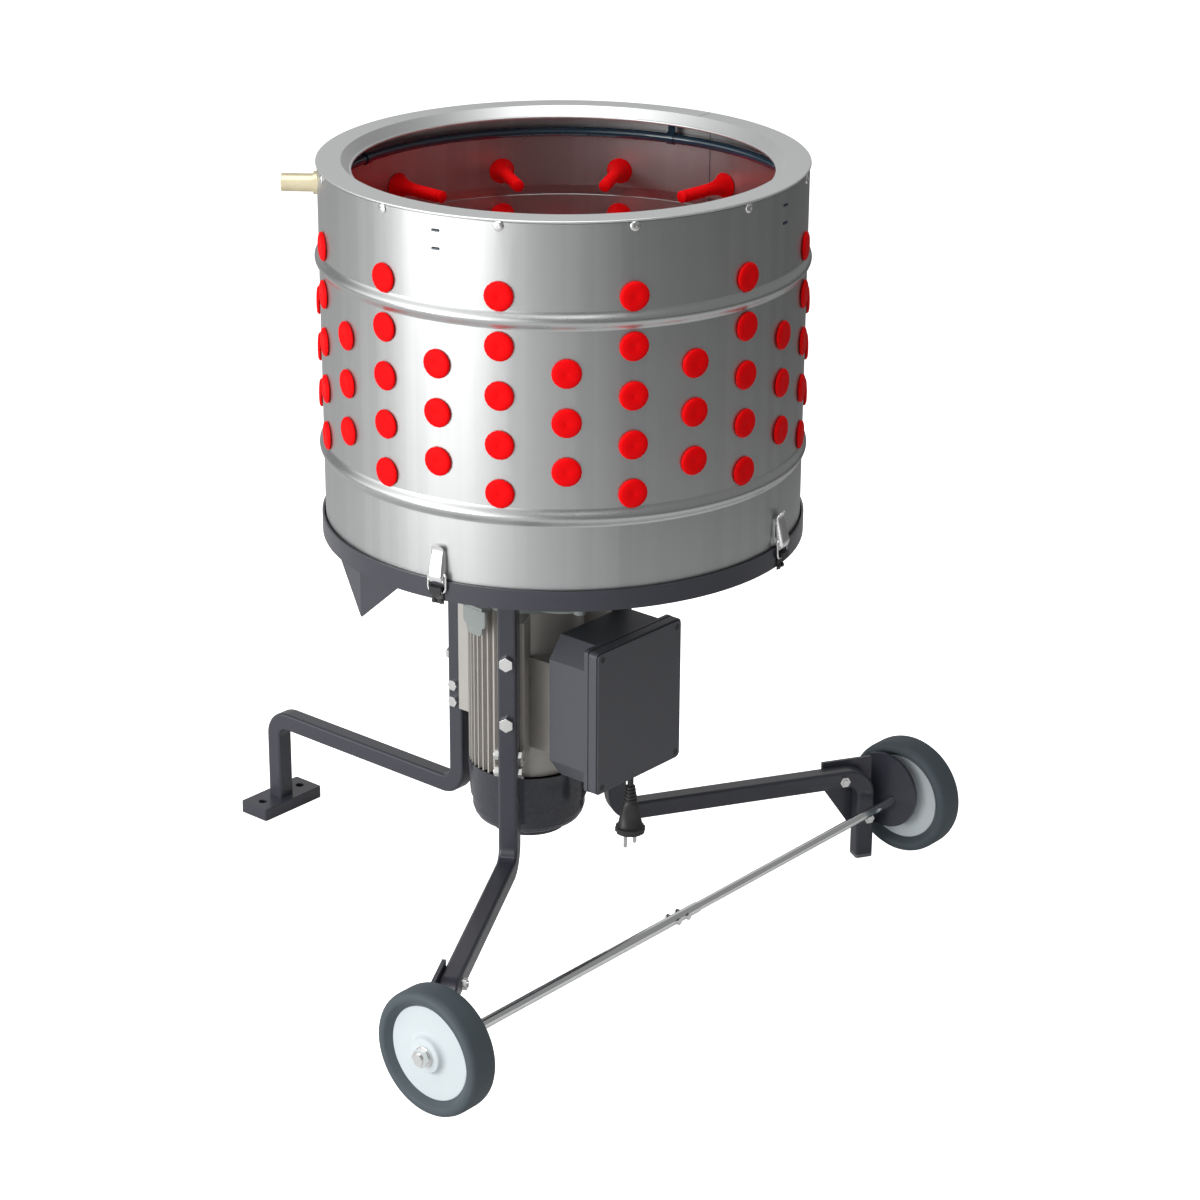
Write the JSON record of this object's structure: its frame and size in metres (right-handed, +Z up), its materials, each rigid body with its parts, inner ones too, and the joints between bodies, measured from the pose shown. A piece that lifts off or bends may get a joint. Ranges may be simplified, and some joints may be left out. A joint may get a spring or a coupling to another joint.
{
  "type": "poultry plucker",
  "caption": "Drum poultry plucker: a steel drum lined with rubber fingers over a spinning finger plate, with a geared motor below, on a legged frame with wheels and a foot plate.",
  "frame": {"origin": "centre of the footprint on the floor", "axes": "+Z up, -Y towards the picture's front, +X to the right in the picture"},
  "size_m": [1.0015, 0.9786, 1.04],
  "materials": {
    "galvanised": "zinc-coated sheet, satin",
    "rim_steel": "zinc-coated sheet, satin",
    "red_rubber": "moulded red rubber, satin",
    "black_paint": "black powder coat",
    "bright_bolts": "zinc plated",
    "latch_steel": "polished stainless steel",
    "keeper_black": "black, semi-gloss",
    "gasket_rubber": "black sealing rubber",
    "spray_pipe": "dark blue-grey pipe",
    "brass": "pale brass",
    "cast_grey": "grey painted casting",
    "motor_alloy": "die-cast aluminium, matt",
    "cowl_black": "black moulded plastic",
    "box_plastic": "dark grey moulded plastic",
    "inner_steel": "ground steel",
    "copper_windings": "varnished copper and steel",
    "fan_plastic": "black plastic",
    "cream_plastic": "cream plastic",
    "capacitor_alloy": "drawn aluminium",
    "lead_black": "black rubber lead and plug",
    "plug_plating": "nickel plated",
    "cap_grey": "grey plastic",
    "axle_zinc": "zinc plated",
    "hub_plastic": "pale blue-white plastic",
    "tyre_grey": "grey rubber"
  },
  "bodies": {
    "root": {"base_tray": "black_paint", "feather_chute": "black_paint", "drum_gasket": "gasket_rubber", "drum_shell": "galvanised", "drum_fingers": "red_rubber", "rim_ring": "rim_steel", "rim_screws": "bright_bolts", "spray_ring": "spray_pipe", "spray_clips": "bright_bolts", "water_inlet": "brass", "latch_bases": "latch_steel", "latch_keepers": "keeper_black", "gear_case": "cast_grey", "gear_cover": "cast_grey", "shaft_seal": "gasket_rubber", "bearings": "inner_steel", "motor_frame": "motor_alloy", "motor_stator": "copper_windings", "fan_cowl": "cowl_black", "box_body": "box_plastic", "lid_gasket": "gasket_rubber", "box_lid": "box_plastic", "lid_screws": "keeper_black", "contactor": "cream_plastic", "run_capacitor": "capacitor_alloy", "cord_grommet": "lead_black", "mains_cord": "lead_black", "plug_body": "lead_black", "plug_pins": "plug_plating", "leg_front": "black_paint", "leg_right": "black_paint", "leg_foot": "black_paint", "leg_caps": "cap_grey", "foot_plate": "black_paint", "frame_bolts": "bright_bolts", "wheel_brackets": "black_paint", "bracket_bolts": "bright_bolts", "axle_tube": "axle_zinc", "axle_rod": "axle_zinc", "axle_nuts": "bright_bolts"},
    "plate": {"plate_shaft": "inner_steel", "drive_gear": "inner_steel", "feather_plate": "galvanised", "plate_nut": "bright_bolts", "plate_fingers": "red_rubber"},
    "rotor": {"motor_rotor": "inner_steel", "pinion": "inner_steel", "cooling_fan": "fan_plastic"},
    "wheel_front": {"hub_front": "hub_plastic", "tyre_front": "tyre_grey"},
    "wheel_right": {"hub_right": "hub_plastic", "tyre_right": "tyre_grey"},
    "lever_left": {"lever_left": "latch_steel"},
    "bail_left": {"bail_left": "latch_steel"},
    "lever_right": {"lever_right": "latch_steel"},
    "bail_right": {"bail_right": "latch_steel"},
    "lever_back_right": {"lever_back_right": "latch_steel"},
    "bail_back_right": {"bail_back_right": "latch_steel"},
    "lever_back_left": {"lever_back_left": "latch_steel"},
    "bail_back_left": {"bail_back_left": "latch_steel"}
  },
  "joints": [
    {"name": "plate_spin", "type": "hinge", "parent": "root", "child": "plate", "pos_m": [-0.04692, 0.07299, 0.59], "axis": [0, 0, 1], "continuous": true},
    {"name": "motor_spin", "type": "hinge", "parent": "root", "child": "rotor", "pos_m": [-0.09151, 0.11314, 0.33], "axis": [0, 0, 1], "continuous": true},
    {"name": "wheel_front_spin", "type": "hinge", "parent": "root", "child": "wheel_front", "pos_m": [-0.20248, -0.42408, 0.085], "axis": [0.6691, 0.7431, 0], "continuous": true},
    {"name": "wheel_right_spin", "type": "hinge", "parent": "root", "child": "wheel_right", "pos_m": [0.43117, 0.27966, 0.085], "axis": [0.6691, 0.7431, 0], "continuous": true},
    {"name": "lever_left_open", "type": "hinge", "parent": "root", "child": "lever_left", "pos_m": [-0.20117, -0.19418, 0.591], "axis": [0.866, -0.5, 0], "range_deg": [0, 95]},
    {"name": "bail_left_swing", "type": "hinge", "parent": "lever_left", "child": "bail_left", "pos_m": [-0.20042, -0.19288, 0.599], "axis": [0.866, -0.5, 0], "range_deg": [-71, 0]},
    {"name": "lever_right_open", "type": "hinge", "parent": "root", "child": "lever_right", "pos_m": [0.22025, -0.08126, 0.591], "axis": [0.5, 0.866, 0], "range_deg": [0, 95]},
    {"name": "bail_right_swing", "type": "hinge", "parent": "lever_right", "child": "bail_right", "pos_m": [0.21895, -0.08051, 0.599], "axis": [0.5, 0.866, 0], "range_deg": [-71, 0]},
    {"name": "lever_back_right_open", "type": "hinge", "parent": "root", "child": "lever_back_right", "pos_m": [0.10733, 0.34016, 0.591], "axis": [-0.866, 0.5, 0], "range_deg": [0, 95]},
    {"name": "bail_back_right_swing", "type": "hinge", "parent": "lever_back_right", "child": "bail_back_right", "pos_m": [0.10658, 0.33886, 0.599], "axis": [-0.866, 0.5, 0], "range_deg": [-71, 0]},
    {"name": "lever_back_left_open", "type": "hinge", "parent": "root", "child": "lever_back_left", "pos_m": [-0.31409, 0.22724, 0.591], "axis": [-0.5, -0.866, 0], "range_deg": [0, 95]},
    {"name": "bail_back_left_swing", "type": "hinge", "parent": "lever_back_left", "child": "bail_back_left", "pos_m": [-0.31279, 0.22649, 0.599], "axis": [-0.5, -0.866, 0], "range_deg": [-71, 0]}
  ],
  "couplings": [
    {"joint": "motor_spin", "follows": "plate_spin", "ratio": -4},
    {"joint": "bail_left_swing", "follows": "lever_left_open", "ratio": -0.736},
    {"joint": "bail_right_swing", "follows": "lever_right_open", "ratio": -0.736},
    {"joint": "bail_back_right_swing", "follows": "lever_back_right_open", "ratio": -0.736},
    {"joint": "bail_back_left_swing", "follows": "lever_back_left_open", "ratio": -0.736}
  ]
}
